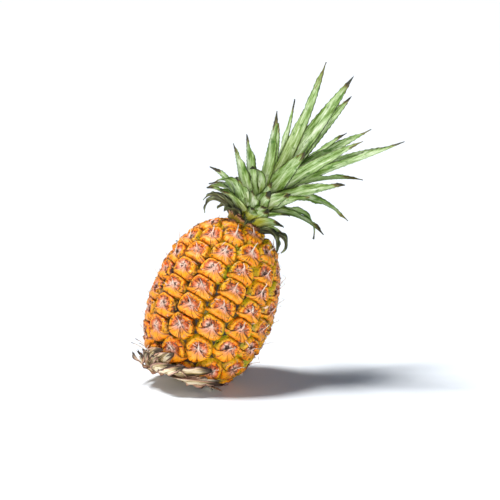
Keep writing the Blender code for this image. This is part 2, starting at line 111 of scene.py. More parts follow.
MIDDLE_LEAVES = [
    (25, 20, 60, 92, 11, 13, 0, 45),
    (40, 16, 57, 78, 5, 17, 0, -20),
    (346, 16, 74, 62, 17, 12, 0, 45),
    (350, 12, 61, 50, 8, 11, 50, 35),
    (20, 9, 60, 36, 12, 14, 0, 40),
    (140, 15, 62, 61, 2, 14, 0, 10),
    (140, 10, 68, 48, 3, 15, 0, 18),
    (165, 8, 55, 27, 5, 12, 10, 40),
    (142, 5, 60, 28, 6, 14, 40, 25),
    (165, 5, 47, 14, 5, 11, 20, 40),
]
SHORT_LEAVES = [
    (90, 22, 42, 79, 4, 18, 0, 0),
    (128, 12, 42, 56, 3, 17, 50, 0),
    (133, 9, 48, 28, 4, 15, 0, 0),
    (138, 5, 50, 12, 5, 16, 0, 10),
    (112, 7, 42, 27, 4, 17, 0, 0),
    (100, 12, 40, 43, 3, 9, 0, 0),
    (76, 11, 45, 44, 4, 17, 0, 0),
    (58, 11, 48, 52, 4, 16, 0, 0),
    (85, 5, 33, 24, 3, 16, 0, 0),
    (100, 4, 29, 17, 3, 15, 0, 0),
    (50, 6, 36, 31, 3, 14, 0, 10),
]
NECK_LEAVES = [
    (112, 2, 26, 26, 4, 21, 0, 0),
    (78, 1, 28, 24, 4, 21, 0, 0),
    (148, 2, 30, 23, 4, 20, 0, 0),
    (42, 2, 33, 21, 5, 20, 0, 0),
    (95, 8, 29, 37, 3, 18, 0, 0),
    (185, 2, 30, 22, 4, 18, 0, 0),
    (10, 2, 33, 17, 5, 18, 0, 0),
]
FAR_NECK_LEAVES = [
    (215, 2, 31, 24, 4, 20, 0, 0),
    (245, 1, 33, 22, 4, 21, 0, 0),
    (278, 2, 32, 24, 4, 21, 0, 0),
    (310, 1, 33, 22, 4, 21, 0, 0),
    (340, 2, 32, 24, 4, 20, 0, 0),
]
WITHERED_LEAVES = [
    (157, 1, 50, 0, 4, 10, 40, 20),
    (190, 0, 38, -12, 10, 8, 30, 30),
    (138, 0, 30, -3, 4, 12, 0, 0),
    (8, 1, 46, 5, 7, 11, 45, 20),
    (35, 1, 40, -4, 8, 11, 0, 10),
    (95, 0, 25, -2, 4, 11, 0, 0),
    (225, 1, 34, 0, 6, 11, 10, 0),
    (262, 1, 34, 0, 6, 11, 10, 0),
    (302, 1, 34, 0, 6, 11, 10, 0),
]
# How far from the axis the feet of leaves, scales and bracts are
NECK_ROOT_OUT = 10.5
COLLAR_ROOT_OUT = 15.4
SCALE_ROOT_OUT = 14.6
SKIRT_ROOT_OUT = 12.8
# Degrees from each leaf or scale to the next one that grows
GROWTH_TURN = 137.5
# From this share of its length on, a leaf bends evenly further, at its tip by this many times its angle
HOOK_START = 0.6
HOOK_AT_TIP = 1.6
# Millimetres between leaves in their pattern, so that no two look alike
PATTERN_STEP = 61.0

# Dry bracts of the skirt: side, length, width, rise of the tip, sag of the middle, twist
BASAL_BRACTS = [
    (180, 25, 23, -1, 1, 0),
    (142, 28, 22, 4, 3, 6),
    (104, 28, 23, 2, 2, -6),
    (72, 30, 20, 3, 3, 4),
    (45, 31, 15, -3, 1, 0),
    (215, 26, 22, 3, 3, -6),
    (248, 27, 21, 1, 2, 5),
]
# Papery sheets of the skirt, swept round the lowest eyes: side of the foot, how far out and how high
# the tip is, width
SKIRT_SHEETS = [
    (246, 41, 5, 11), (229, 43, 3, 13), (215, 46, 0, 7), (203, 42, 6, 16), (190, 45, 1, 9),
    (177, 43, 9, 21), (162, 46, 2, 10), (150, 43, 10, 20), (136, 45, 3, 12), (124, 43, 8, 22),
    (110, 44, 2, 12), (98, 42, 3, 13),
]
# Loose threads of the skirt: side, how far out and how high the tip is
SKIRT_THREADS = [
    (168, 52, 12), (178, 48, 16), (150, 47, 9), (130, 46, 3), (95, 47, 2), (60, 46, -1), (206, 48, 14),
]
# Height of the lowest paper over the table, and how soft its bend is on it
PAPER_REST = 1.1 * MM
PAPER_BEND = 0.4 * MM


def smooth(x):
    """0 below 0, 1 above 1, and an even S between."""
    x = np.clip(x, 0.0, 1.0)
    return x * x * (3.0 - 2.0 * x)


def unit(v):
    """Vectors of length 1."""
    return v / np.linalg.norm(v, axis=-1, keepdims=True)


def back_leaves():
    """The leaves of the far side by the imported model's rule: even steps round their span."""
    steps = random.Random(7)
    rows = []
    for k in range(16):
        share = k / 15.0
        out = 50.0 - 6.0 * share + steps.uniform(-4.0, 4.0)
        up = 20.0 + 72.0 * share + steps.uniform(-4.0, 4.0)
        side = 205.0 + (k * GROWTH_TURN) % 130.0
        rows.append((side, 5.0 + 22.0 * share, out, up, 9.0 - 6.0 * share, 15.0 - 3.0 * share,
                     20.0 * (1.0 - share), 0.0))
    return rows


# Mesh and material helpers


def colour(hex_code):
    """Linear colour of an sRGB hex code."""
    channels = np.array([int(hex_code[i:i + 2], 16) / 255.0 for i in (0, 2, 4)])
    linear = np.where(channels <= 0.04045, channels / 12.92, ((channels + 0.055) / 1.055) ** 2.4)
    return (*linear.tolist(), 1.0)


def add(tree, kind, settings=None, inputs=None, output=None):
    """Add a node with its settings, its colour stops and its inputs, each a value or a socket. Return
    the output of that name, or else the first one that its settings leave in use."""
    made = tree.nodes.new("ShaderNode" + kind)
    for name, value in (settings or {}).items():
        if name == "stops":
            ramp = made.color_ramp.elements
            while len(ramp) < len(value):
                ramp.new(0.5)
            for stop, (place, hex_code) in zip(ramp, value):
                stop.position = place
                stop.color = colour(hex_code)
        else:
            setattr(made, name, value)
    for key, value in (inputs or {}).items():
        if isinstance(value, bpy.types.NodeSocket):
            tree.links.new(value, made.inputs[key])
        else:
            made.inputs[key].default_value = value
    return made.outputs[output] if output else next(socket for socket in made.outputs if socket.enabled)


def put_in_scene(name, data):
    """An object of its data, at the origin."""
    made = bpy.data.objects.new(name, data)
    bpy.context.scene.collection.objects.link(made)
    return made


def new_material(name):
    """A node material with only its Principled shader, and its tree."""
    made = bpy.data.materials.new(name)
    made.use_nodes = True
    return made, made.node_tree


def tubes(name, rings, attributes, finish, nodes=()):
    """A piece of many closed tubes, made at once.

    rings is (tubes, rings, points round a ring, 3). Neighbouring rings are joined by four-sided faces,
    and each end is closed by a fan to its ring's mean point. A tube whose volume comes out negative
    has its faces turned round.
    """
    count, rows, columns, _ = rings.shape
    each = rows * columns + 2
    caps = rings[:, [0, -1]].mean(axis=2)
    points = np.concatenate([rings.reshape(count, -1, 3), caps], axis=1)
    here = np.arange(columns)
    after = (here + 1) % columns
    row = np.arange(rows - 1)[:, None] * columns
    quads = np.stack([row + here, row + after, row + columns + after, row + columns + here], axis=-1)
    quads = quads.reshape(-1, 4)
    last = (rows - 1) * columns
    fans = np.concatenate([
        np.stack([after, here, np.full(columns, each - 2)], axis=-1),
        np.stack([last + here, last + after, np.full(columns, each - 1)], axis=-1),
    ])
    corners = np.concatenate([quads[:, [0, 1, 2]], quads[:, [0, 2, 3]], fans])
    a, b, c = (points[:, corners[:, k]] - points[:, :1] for k in range(3))
    inside_out = np.einsum("ijk,ijk->i", a, np.cross(b, c)) < 0.0
    starts = np.arange(count)[:, None, None] * each
    quads = np.where(inside_out[:, None, None], quads[None, :, ::-1], quads[None]) + starts
    fans = np.where(inside_out[:, None, None], fans[None, :, ::-1], fans[None]) + starts

    mesh = bpy.data.meshes.new(name)
    mesh.vertices.add(count * each)
    mesh.vertices.foreach_set("co", points.astype(np.float32).ravel())
    corner_points = np.concatenate([quads.ravel(), fans.ravel()])
    four, three = quads.size // 4, fans.size // 3
    loop_starts = np.concatenate([np.arange(four) * 4, four * 4 + np.arange(three) * 3])
    mesh.loops.add(len(corner_points))
    mesh.loops.foreach_set("vertex_index", corner_points.astype(np.int32))
    mesh.polygons.add(four + three)
    mesh.polygons.foreach_set("loop_start", loop_starts.astype(np.int32))
    mesh.update(calc_edges=True)
    mesh.validate()
    mesh.shade_smooth()
    for key, values in attributes.items():
        values = np.broadcast_to(values, rings.shape[:3] + values.shape[3:])
        ends = values[:, [0, -1]].mean(axis=2)
        flat = np.concatenate([values.reshape(count, rows * columns, -1), ends.reshape(count, 2, -1)], axis=1)
        kind, field = ("FLOAT_VECTOR", "vector") if values.ndim == 4 else ("FLOAT", "value")
        mesh.attributes.new(key, kind, "POINT").data.foreach_set(field, flat.astype(np.float32).ravel())
    mesh.materials.append(finish)
    piece = put_in_scene(name, mesh)
    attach(piece, "root")
    if nodes:
        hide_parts(*nodes)


# Body of the fruit


def body_parts(z):
    """Half length and power of the body's half that each height is in."""
    upper = z >= 0.0
    return np.where(upper, TOP_LENGTH, BOTTOM_LENGTH), np.where(upper, TOP_POWER, BOTTOM_POWER)


def on_body(p):
    """Points of the superellipse body on the lines from its centre through p."""
    length, power = body_parts(p[..., 2])
    side = np.hypot(p[..., 0], p[..., 1]) / BODY_RADIUS
    reach = (side ** power + np.abs(p[..., 2] / length) ** power) ** (1.0 / power)
    return p / reach[..., None]


def body_normal(p):
    """Outward directions of the body's surface."""
    length, power = body_parts(p[..., 2])
    radius = np.maximum(np.hypot(p[..., 0], p[..., 1]), 1e-9)
    across = (radius / BODY_RADIUS) ** (power - 1.0) / BODY_RADIUS / radius
    along = np.sign(p[..., 2]) * np.abs(p[..., 2] / length) ** (power - 1.0) / length
    return unit(np.stack([p[..., 0] * across, p[..., 1] * across, along], axis=-1))


def eye_centres():
    """Spiral of eyes on the body, each with its share of the surface, smaller towards the top."""
    heights = np.linspace(-BOTTOM_LENGTH, TOP_LENGTH, 4001)
    lengths, powers = body_parts(heights)
    radii = BODY_RADIUS * (1.0 - np.abs(heights / lengths) ** powers) ** (1.0 / powers)
    steps = np.hypot(np.diff(radii), np.diff(heights)) * (radii[1:] + radii[:-1]) / 2.0
    shares = np.concatenate([[0.0], np.cumsum(steps * (1.0 + TOP_EYE_SHRINK * heights[1:] / TOP_LENGTH))])
    wanted = (np.arange(EYE_COUNT) + 0.5) / EYE_COUNT
    z = np.interp(wanted, shares / shares[-1], heights)
    r = np.interp(wanted, shares / shares[-1], radii)
    angle = np.radians(FIRST_EYE_ANGLE + EYE_TURN * np.arange(EYE_COUNT))
    return np.stack([r * np.cos(angle), r * np.sin(angle), z], axis=-1)


ALL_CENTRES = eye_centres()
# Eyes past the base's cut or under the crown only shape the borders of the others
SHOWN = (ALL_CENTRES[:, 2] > BASE_CUT - 2.0 * MM) & (ALL_CENTRES[:, 2] < TOP_LENGTH - 1.5 * MM)
EYES = ALL_CENTRES[SHOWN]
EYE_OUT = body_normal(EYES)
EYE_SIDE = unit(np.cross(UP, EYE_OUT))
EYE_UP = np.cross(EYE_OUT, EYE_SIDE)
# Eight random numbers of each eye's own
EYE_RANDOM = draw.random((len(EYES), 8))


def eye_reach(angle):
    """Distance from each eye's centre to its border at each angle, (eyes, angles).

    It is the least distance to the lines halfway to the other eyes, with its corners rounded by
    taking a power mean of those distances, and a little more, so that cushions press into each other.
    """
    offsets = ALL_CENTRES[None] - EYES[:, None]
    side = np.einsum("ijk,ik->ij", offsets, EYE_SIDE)
    rise = np.einsum("ijk,ik->ij", offsets, EYE_UP)
    span = (offsets ** 2).sum(axis=-1)
    near = np.argsort(span, axis=1)[:, 1:13]
    side, rise, span = (np.take_along_axis(x, near, axis=1)[:, :, None] for x in (side, rise, span))
    toward = side * np.cos(angle)[:, None] + rise * np.sin(angle)[:, None]
    closeness = 2.0 * np.maximum(toward, 0.0) / span
    near_border = (closeness ** CORNER_SHARPNESS).sum(axis=1)
    arch = smooth(0.7 + np.sin(angle)) * (1.0 / (ARCH_ROUNDING * USUAL_REACH)) ** CORNER_SHARPNESS
    return EYE_OVERLAP * (near_border + arch) ** (-1.0 / CORNER_SHARPNESS)


EYE_SIZE = eye_reach(np.broadcast_to(np.linspace(0.0, 6.2, 40), (len(EYES), 40))).mean(axis=1) / USUAL_REACH


def pit_share(across, upward, own):
    """Distance from an eye's pit, which lies a little off its middle, as a share that is 1 all round
    the border. own is EYE_RANDOM with axes added to suit across and upward."""
    inward = np.maximum(1.0 - np.hypot(across, upward), 0.0)
    return np.hypot(across - 0.45 * (own[6] - 0.5) * inward, upward - 0.35 * (own[7] - 0.5) * inward)


def eye_relief(share, angle):
    """Height of an eye's skin over the body in millimetres, (eyes, points).

    A steep flank, a cushion like an arch round the upper half with a crease along its inner side, a
    sunk middle with a small boss, a lower half that stands out a little more, and folds that run out
    from the middle.
    """
    flank = smooth((1.0 - share) / 0.17)
    inner = pit_share(share * np.cos(angle), share * np.sin(angle), EYE_RANDOM.T[..., None])
    bowl = smooth((0.64 - inner) / 0.46)
    boss = smooth((0.15 - inner) / 0.15)
    upper = smooth(0.6 + np.sin(angle))
    phase = 6.3 * EYE_RANDOM[:, :1]
    folds = np.cos(7.0 * angle + phase) + 0.8 * np.cos(13.0 * angle + 3.0 * phase)
    arch = 0.9 * np.exp(-((inner - 0.76) / 0.13) ** 2)
    crease = 0.55 * np.exp(-((inner - 0.54) / 0.05) ** 2)
    height = -1.1 + 3.3 * flank - 1.5 * bowl + 0.5 * boss
    height += upper * (arch - crease)
    height += -0.5 * share * np.sin(angle) * flank
    height += (0.32 - 0.18 * upper) * folds * smooth(share / 0.25) * smooth((1.0 - share) / 0.25)
    return height * (0.85 + 0.3 * EYE_RANDOM[:, 1:2])


def over_eyes(across, upward, lift):
    """World points over the eyes; across and upward are shares of the eye's reach, lift millimetres
    over its skin. All three are (eyes, ...) arrays."""
    shape = across.shape
    across, upward, lift = (np.broadcast_to(x, shape).reshape(shape[0], -1) for x in (across, upward, lift))
    angle = np.arctan2(upward, across)
    share = np.hypot(across, upward)
    reach = (share * eye_reach(angle))[..., None]
    flat = EYES[:, None] + EYE_SIDE[:, None] * reach * np.cos(angle)[..., None]
    flat = flat + EYE_UP[:, None] * reach * np.sin(angle)[..., None]
    height = (eye_relief(np.minimum(share, 1.0), angle) * EYE_SIZE[:, None] + lift) * MM
    local = on_body(flat) + EYE_OUT[:, None] * height[..., None]
    return settle(local).reshape(*shape, 3)


def settle(local):
    """Fruit coordinates to world ones, pressed flat on the table, at the base and under the crown."""
    local = local.copy()
    local[..., 2] = np.maximum(local[..., 2], BASE_CUT)
    world = CENTRE + local @ FRUIT_TURN.T
    seated = (world - CROWN_BASE) @ CROWN_TURN
    radius = np.hypot(seated[..., 0], seated[..., 1])
    roof = -SEAT_DEPTH + SEAT_SLOPE * np.maximum(radius - SEAT_FLAT, 0.0)
    near = (radius < SEAT_REACH) & (seated[..., 2] > -SEAT_DROP)
    seated[..., 2] = np.where(near, np.minimum(seated[..., 2], roof), seated[..., 2])
    world = CROWN_BASE + seated @ CROWN_TURN.T
    world[..., 2] = np.maximum(world[..., 2], TABLE_GAP)
    return world


def make_eyes():
    """One closed cushion for each eye, with its edge sunk in the groove skin."""
    shares = np.array([
        0.05, 0.12, 0.20, 0.28, 0.36, 0.44, 0.50, 0.54, 0.59, 0.67, 0.76, 0.84, 0.90, 0.95, 1.0])
    angles = np.linspace(0.0, 2.0 * np.pi, 56, endpoint=False)
    share, angle = np.meshgrid(shares, angles, indexing="ij")
    across = np.broadcast_to(share * np.cos(angle), (len(EYES), *share.shape))
    upward = np.broadcast_to(share * np.sin(angle), across.shape)
    top = over_eyes(across, upward, np.zeros_like(across))
    # The cushion closes 5 mm under the skin
    under = over_eyes(across[:, -1:] * 0.9, upward[:, -1:] * 0.9, np.full_like(across[:, -1:], -5.0))
    rings = np.concatenate([top, under], axis=1)
    share = np.broadcast_to(np.append(shares, 1.0)[:, None], rings.shape[1:3])
    angle = np.broadcast_to(angles, share.shape)
    across, upward = (np.broadcast_to(share * x(angle), rings.shape[:3]) for x in (np.cos, np.sin))
    place = np.stack([across, upward, pit_share(across, upward, EYE_RANDOM.T[..., None, None])], axis=-1)
    # Eyes are less ripe on the right and towards the top
    azimuth = np.arctan2(EYES[:, 1], EYES[:, 0])
    green = 0.5 + 0.5 * np.cos(azimuth + 0.2)
    green = green * (0.52 + 0.28 * smooth(0.5 + EYES[:, 2] / TOP_LENGTH))
    green = green + 0.35 * smooth(EYES[:, 2] / TOP_LENGTH) + 0.45 * (EYE_RANDOM[:, 2] - 0.5)
    tone = np.stack([EYE_RANDOM[:, 3], np.clip(green, 0.0, 1.0), EYE_RANDOM[:, 4]], axis=-1)
    tone = np.broadcast_to(tone[:, None, None], rings.shape)
    tubes("fruit_eyes", rings, {"eye_place": place, "eye_tone": tone}, rind_material(), ["fruit"])


def make_groove_skin():
    """The skin between the eyes: the plain body half a millimetre under its surface, with a waver that
    is a product of two sines."""
    tilts = np.linspace(-0.5 * np.pi, 0.5 * np.pi, 92)[1:-1]
    around = np.linspace(0.0, 2.0 * np.pi, 150, endpoint=False)
    tilt, turned = np.meshgrid(tilts, around, indexing="ij")
    sphere = np.stack([np.cos(tilt) * np.cos(turned), np.cos(tilt) * np.sin(turned), np.sin(tilt)], axis=-1)
    local = on_body(sphere * BODY_RADIUS)
    waver = 0.25 * np.sin(23.0 * turned + 9.0 * tilt) * np.sin(31.0 * tilt)
    local = local + body_normal(local) * ((-0.5 + waver) * MM)[..., None]
    tubes("groove_skin", settle(local)[None], {}, groove_material(), ["fruit"])


def blade_section(count):
    """Places round a thin section, -1 to 1 across, and its face: 1 above, -1 below and 0 at the edges."""
    upper = np.linspace(-1.0, 1.0, count)
    across = np.concatenate([upper, upper[-2:0:-1]])
    face = np.concatenate([np.ones(count), -np.ones(count - 2)])
    face[[0, count - 1]] = 0.0
    return across, face


def make_eye_bracts():
    """The papery bract over each eye's lower half: a fan with two pointed corners, drawn in along
    hollow sides to a ridge and a spine that bends up and out.

    Each line of the fan runs straight from its foot on the eye's border to the tip over the pit, and
    the fan closes as the lines near the tip. It lies on the skin, corrugated, and lifts to the tip.
    """
    count = len(EYES)
    stations = np.concatenate([np.linspace(0.0, 1.0, 12), 1.0 + np.linspace(0.12, 1.0, 7)])
    across, face = blade_section(11)
    blade = np.clip(stations, 0.0, 1.0)[None, :, None]
    spine = np.clip(stations - 1.0, 0.0, 1.0)[None, :, None]
    own = EYE_RANDOM[:, :, None, None]
    tip_up = 0.02 + 0.20 * own[:, 5]
    foot = 0.92 + 0.24 * np.abs(across) ** 3 + 0.04 * np.sin(11.0 * across + 6.3 * own[:, 4])
    fan = np.radians(80.0) * (1.0 - 0.58 * blade) * across - np.pi / 2.0
    left = np.maximum(1.0 - blade, 0.0)
    sway = (own[:, 7] - 0.5) * (0.15 * blade + 0.7 * spine ** 1.5)
    thin = 0.075 * (1.0 - 0.8 * spine) * across * (blade > 0.0)
    x = foot * left * np.cos(fan) + sway + thin
    y = tip_up * blade + foot * left * np.sin(fan) + spine * (0.22 + 0.70 * own[:, 6] ** 1.5)
    shape = np.broadcast_shapes(x.shape, y.shape, (count, len(stations), len(across)))
    x, y = np.broadcast_to(x, shape), np.broadcast_to(y, shape)
    ridge = np.exp(-(across / 0.22) ** 2) * smooth(blade / 0.5)
    ribs = 0.30 * np.cos(10.0 * across + 6.3 * own[:, 3]) * smooth(blade / 0.2) * (1.0 - blade)
    rise = 0.25 + 0.8 * ridge * (1.0 - 0.5 * blade) + ribs + 2.6 * blade ** 2.2
    rise = rise + 0.45 * np.abs(across) ** 4 * (1.0 - blade) + 3.4 * spine * (0.3 + own[:, 2])
    lift = np.broadcast_to(rise + 0.12 * face, shape)
    rings = over_eyes(x, y, lift)
    along = np.broadcast_to(blade * 0.75 + spine * 0.25, shape)
    place = np.stack([np.broadcast_to(across, shape), np.zeros(shape), along], axis=-1)
    tone = np.broadcast_to(EYE_RANDOM[:, None, None, 3:6], rings.shape)
    tubes("eye_bracts", rings, {"bract_place": place, "eye_tone": tone}, bract_material())


def make_sepals():
    """Six pointed scales round each eye's pit, rooted on the bowl's edge, with tips raised at its middle."""
    each = 6
    count = len(EYES)
    stations = np.linspace(0.0, 1.0, 6)[None, None, :, None]
    across, face = blade_section(4)
    own = draw.random((count, each, 4))[..., None, None]
    angle = (np.arange(each)[None, :, None, None] + 0.5 * (own[:, :, 0] - 0.5)) * 2.0 * np.pi / each
    root = 0.40 + 0.14 * own[:, :, 1]
    distance = root + (0.05 - root) * stations
    half = (0.20 + 0.05 * own[:, :, 2]) * (1.0 - stations ** 1.6) + 0.01
    eye_own = EYE_RANDOM[:, :, None, None, None]
    x = distance * np.cos(angle) - half * across * np.sin(angle) + 0.40 * (eye_own[:, 6] - 0.5)
    y = distance * np.sin(angle) + half * across * np.cos(angle) + 0.30 * (eye_own[:, 7] - 0.5)
    lift = 0.15 + 1.7 * stations ** 1.5 * (0.4 + own[:, :, 3]) - 0.3 * across ** 2 + 0.12 * face
    lift = np.broadcast_to(lift, x.shape)
    rings = over_eyes(x, y, lift).reshape(count * each, *x.shape[2:], 3)
    along = np.broadcast_to(stations, x.shape)
    place = np.stack([x, y, along], axis=-1).reshape(rings.shape)
    tone = np.broadcast_to(own[:, :, :3, 0, 0][:, :, None, None], (*x.shape, 3)).reshape(rings.shape)
    tubes("eye_sepals", rings, {"bract_place": place, "eye_tone": tone}, sepal_material())


def scatter_strips(name, each, finish, own, start, turned, length, half, lift_of, stations, sides=4):
    """Many small tapered strips on the eyes.

    Each strip starts at (x, y) in shares of its eye's reach, runs in the direction turned for its
    length, bends a little to the side and stands over the skin by lift_of(share of its length).
    """
    count = len(EYES)
    share = np.linspace(0.0, 1.0, stations)[None, None, :, None]
    ring = np.arange(sides) * 2.0 * np.pi / sides
    sway = 0.35 * length * (own[..., 0] - 0.5) * share ** 2
    width = half * (1.0 - 0.85 * share ** 1.5) * np.cos(ring) + sway
    x = start[0] + length * share * np.cos(turned) - width * np.sin(turned)
    y = start[1] + length * share * np.sin(turned) + width * np.cos(turned)
    shape = (count, each, stations, sides)
    lift = np.broadcast_to(lift_of(share) + 0.16 * np.sin(ring) * (1.0 - 0.6 * share), shape)
    x, y = np.broadcast_to(x, shape), np.broadcast_to(y, shape)
    rings = over_eyes(x, y, lift).reshape(count * each, stations, sides, 3)
    tone = np.broadcast_to(own[..., 1], shape).reshape(rings.shape[:3])
    tubes(name, rings, {"shred_tone": tone}, finish)


def make_dry_flowers():
    """Shreds of the old flower in each pit, loose papery flakes on the cushions, and long thin threads
    that stand off the fruit."""
    finish = dry_flower_material()

    def random_set(each):
        return draw.random((len(EYES), each, 6))[..., None, None, :]

    own = random_set(6)
    angle = 2.0 * np.pi * own[..., 2]
    arc = 1.2 + 1.6 * own[..., 4]
    scatter_strips(
        "dry_flowers", 6, finish, own, (0.04 * np.cos(angle), 0.05 + 0.04 * np.sin(angle)), angle,
        length=0.12 + 0.30 * own[..., 3], half=0.05,
        lift_of=lambda share: 0.5 + arc * np.sin(2.4 * share), stations=5)
    own = random_set(7)
    angle = 2.0 * np.pi * own[..., 2]
    out = 0.45 + 0.52 * own[..., 3]
    curl = 1.9 * own[..., 0]
    scatter_strips(
        "dry_flakes", 7, finish, own, (out * np.cos(angle), out * np.sin(angle)),
        angle + 2.0 + 2.5 * own[..., 4], length=0.18 + 0.34 * own[..., 5], half=0.02 + 0.03 * own[..., 0],
        lift_of=lambda share: 0.25 + curl * share ** 2, stations=5)
    own = random_set(1)
    angle = np.pi * (0.5 + 0.9 * (own[..., 2] - 0.5))
    stand = 2.2 * own[..., 5]
    scatter_strips(
        "dry_threads", 1, finish, own, (1.2 * (own[..., 3] - 0.5), -0.8 + 0.8 * own[..., 4]), angle,
        length=0.20 + 0.28 * own[..., 5] ** 2, half=0.045,
        lift_of=lambda share: 0.3 + stand * share ** 1.6, stations=8)


# Leaves and bracts


def leaf_spine(row, stations, root_out):
    """Midrib in its own upright plane: a quadratic curve bowed up in its middle, whose last part
    bends on by the hook angle, as (station, outward and upward)."""
    _, root, out, up, bow, _, hook, _ = row
    shares = np.linspace(0.0, 1.0, stations)
    start, end = np.array([root_out, root]) * MM, np.array([out, up]) * MM
    chord = end - start
    square = np.array([-chord[1], chord[0]]) / np.hypot(*chord)
    square = square if square[1] >= 0.0 else -square
    pull = (start + end) / 2.0 + 2.0 * bow * MM * square
    s = shares[:, None]
    curve = (1.0 - s) ** 2 * start + 2.0 * s * (1.0 - s) * pull + s ** 2 * end
    steps = np.diff(curve, axis=0)
    middles = (shares[1:] + shares[:-1]) / 2.0
    bend = math.radians(hook) * HOOK_AT_TIP * np.clip((middles - HOOK_START) / (1.0 - HOOK_START), 0.0, 1.0)
    angles = np.arctan2(steps[:, 0], steps[:, 1]) + bend
    sizes = np.hypot(steps[:, 0], steps[:, 1])
    moved = np.cumsum(np.column_stack([np.sin(angles), np.cos(angles)]) * sizes[:, None], axis=0)
    return shares, np.vstack([start, start + moved])


def leaf_rings(rows, frame_turn, frame_base, root_out, stations, points, channel, thickness, tooth, wave,
               taper=(2.4, 0.9), adjust=None, fray=0.0, sweep=0.0):
    """Section rings of many blades, (leaves, stations, ring, 3), and the attributes of their places.

    Each blade is carried along its midrib: the half width is that of the taper, the edges rise as a
    channel and waver, every third station has a tooth at the edge, and the thickness thins to the edges.
    The midrib may sweep round the axis, by an angle that grows with the square of the share along it.
    A frayed blade ends in a jagged edge: the places across it run on past the tip by unlike lengths.
    Places are (across in mm, along in mm, leaf number) and (across share, along share, face).
    """
    across, face = blade_section(points)
    everything, in_mm, in_shares = [], [], []
    for number, row in enumerate(rows):
        side, width, roll = row[0], row[5], row[7]
        shares, path = leaf_spine(row, stations, root_out)
        own = draw.random(6)
        angle = np.radians(side + sweep * (0.7 + 0.6 * own[3]) * shares ** 2)
        outward = np.stack([np.cos(angle), -np.sin(angle), 0.0 * angle], axis=-1)
        tangent = np.stack([np.sin(angle), np.cos(angle), 0.0 * angle], axis=-1)
        midrib = path[:, :1] * outward + path[:, 1:] * UP
        along = unit(np.gradient(midrib, axis=0))
        upper = unit(np.cross(along, tangent))
        level = np.cross(upper, along)
        rolled = np.radians(roll) * np.clip(shares / 0.4, 0.0, 1.0) + 0.25 * wave * (own[0] - 0.5) * shares
        sideways = level * np.cos(rolled)[:, None] + upper * np.sin(rolled)[:, None]
        upper = np.cross(along, sideways)
        half = 0.5 * width * MM * (1.0 - shares ** taper[0]) ** taper[1]
        half = half * (0.55 + 0.45 * np.clip(shares / 0.2, 0.0, 1.0))
        length = np.hypot(*np.diff(path, axis=0).T).sum()
        edge = np.abs(across) > 0.999
        teeth = ((np.arange(stations) % 3 == 1) & (shares < 0.93))[:, None] * edge * tooth * MM
        wander = np.sin(2.0 * np.pi * (1.5 + 2.0 * own[1]) * shares + 6.3 * own[2])
        wander = wander + 0.6 * np.sin(2.0 * np.pi * (4.0 + 3.0 * own[3]) * shares + 6.3 * own[4])
        lopsided = 0.5 + 0.5 * np.sign(across) * (1.0 if own[5] > 0.5 else -1.0)
        ripple = wave * 0.9 * MM * wander[:, None] * across ** 2 * lopsided * smooth(shares / 0.3)[:, None]
        reach = half[:, None] * across + np.sign(across) * teeth
        rise = channel * half[:, None] * across ** 2 + ripple
        rise = rise + 0.5 * thickness * MM * face * np.sqrt(1.0 - 0.96 * across ** 2)
        ring = midrib[:, None] + sideways[:, None] * reach[..., None] + upper[:, None] * rise[..., None]
        if fray > 0.0:
            ends = draw.random(points)
            ends = np.concatenate([ends, ends[-2:0:-1]]) * smooth((shares - 0.4) / 0.6)[:, None]
            ring = ring + along[:, None] * (fray * MM * (ends - 0.5))[..., None]
        world = frame_base + ring @ frame_turn.T
        everything.append(adjust(world) if adjust else world)
        grid_along = np.broadcast_to(shares[:, None], reach.shape)
        in_mm.append(np.stack([
            reach / MM, grid_along * length / MM, np.full_like(reach, PATTERN_STEP * number)], -1))
        in_shares.append(np.stack([
            np.broadcast_to(across, reach.shape), grid_along, np.broadcast_to(face, reach.shape)], -1))
    return np.array(everything), {"leaf_mm": np.array(in_mm), "leaf_share": np.array(in_shares)}


def make_crown():
    """The green leaves, piece by piece, and the core that they grow from, a cone with its tip cut off."""
    finish = leaf_material()
    groups = [
        ("crown_long_leaves", CENTRAL_LEAVES + MIDDLE_LEAVES, 0.0, 0.15),
        ("crown_short_leaves", SHORT_LEAVES, 0.0, 0.35),
        ("crown_neck_leaves", NECK_LEAVES + FAR_NECK_LEAVES, NECK_ROOT_OUT, 0.9),
        ("crown_far_leaves", back_leaves(), 0.0, 0.3),
    ]
    for name, rows, root_out, age in groups:
        rings, marks = leaf_rings(
            rows, CROWN_TURN, LEAF_BASE, root_out, stations=64, points=9, channel=0.30, thickness=0.9,
            tooth=0.45, wave=1.0)
        ages = np.clip(age + 0.5 * (draw.random(len(rows)) - 0.5), 0.0, 1.0)
        marks["leaf_age"] = np.broadcast_to(ages[:, None, None], rings.shape[:3])
        tubes(name, rings, marks, finish, ["crown"])
    turned = np.linspace(0.0, 2.0 * np.pi, 40, endpoint=False)
    heights = np.linspace(0.0, 1.0, 20)[:, None]
    radius = CORE_RADII[0] + (CORE_RADII[1] - CORE_RADII[0]) * heights
    z = CORE_HEIGHTS[0] + (CORE_HEIGHTS[1] - CORE_HEIGHTS[0]) * heights
    core = np.stack([radius * np.cos(turned), radius * np.sin(turned), z + 0.0 * turned], axis=-1)
    core = (CROWN_BASE + core @ CROWN_TURN.T)[None]
    marks = {"leaf_mm": core / MM, "leaf_share": np.zeros_like(core), "leaf_age": np.zeros(core.shape[:3])}
    tubes("crown_core", core, marks, finish, ["crown"])


